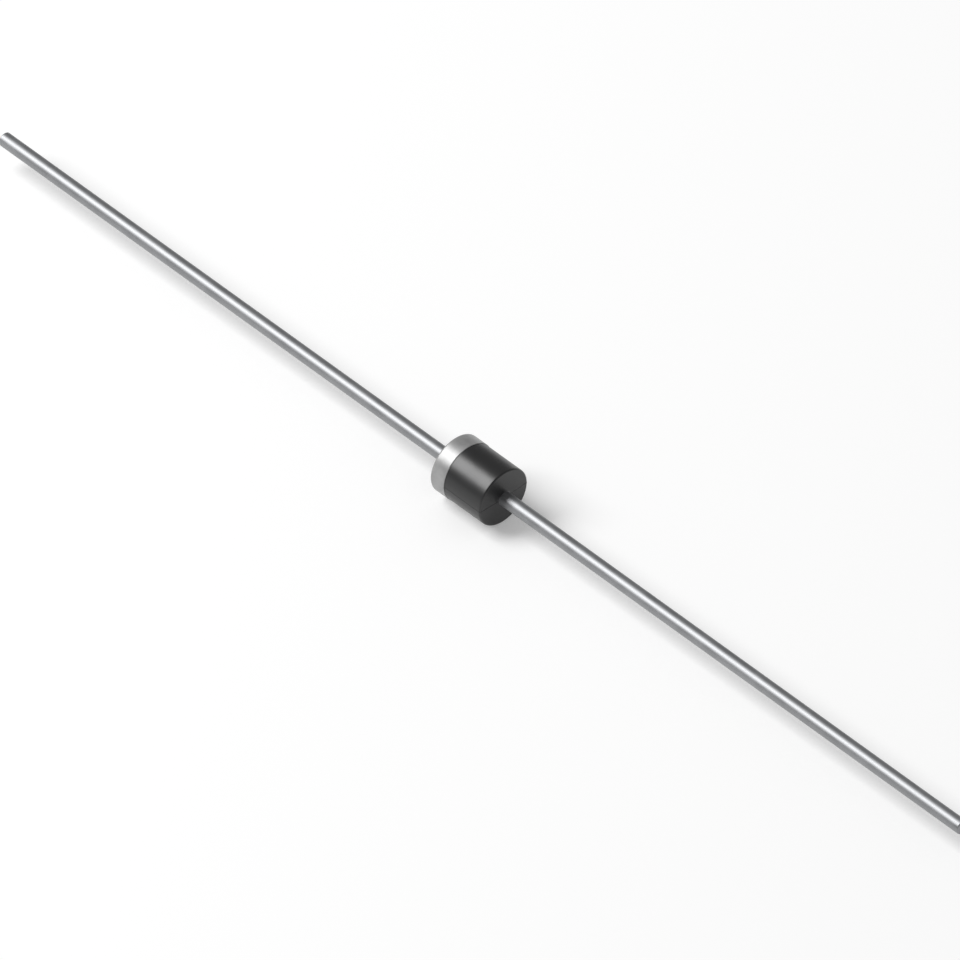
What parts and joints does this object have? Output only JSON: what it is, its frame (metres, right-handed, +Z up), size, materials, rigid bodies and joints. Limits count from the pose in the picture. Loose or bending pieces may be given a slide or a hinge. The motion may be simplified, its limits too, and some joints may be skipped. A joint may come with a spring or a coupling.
{
  "type": "axial rectifier diode",
  "caption": "Small black moulded rectifier diode with a pale cathode band and straight tinned leads on one axis, for soldering into a board.",
  "frame": {"origin": "middle of the moulded case, on the axis of the leads", "axes": "+X along the leads from the cathode to the anode, +Y across the mould's parting plane, +Z up and square to that plane"},
  "size_m": [0.055, 0.0026, 0.0026],
  "materials": {
    "moulded_epoxy": "fine moulded texture with a soft sheen",
    "band_ink": "printed silver-white ink, satin",
    "tinned_copper": "drawn copper wire with a bright tin plating",
    "silicon": "polished faces and an etched, slightly frosted edge",
    "solder": "dull reflowed solder",
    "coating_resin": "smooth cured silicone resin"
  },
  "bodies": {
    "root": {"case": "moulded_epoxy", "cathode_band": "band_ink", "cathode_lead": "tinned_copper", "anode_lead": "tinned_copper", "silicon_die": "silicon", "cathode_solder": "solder", "anode_solder": "solder", "junction_coating": "coating_resin"}
  },
  "joints": []
}
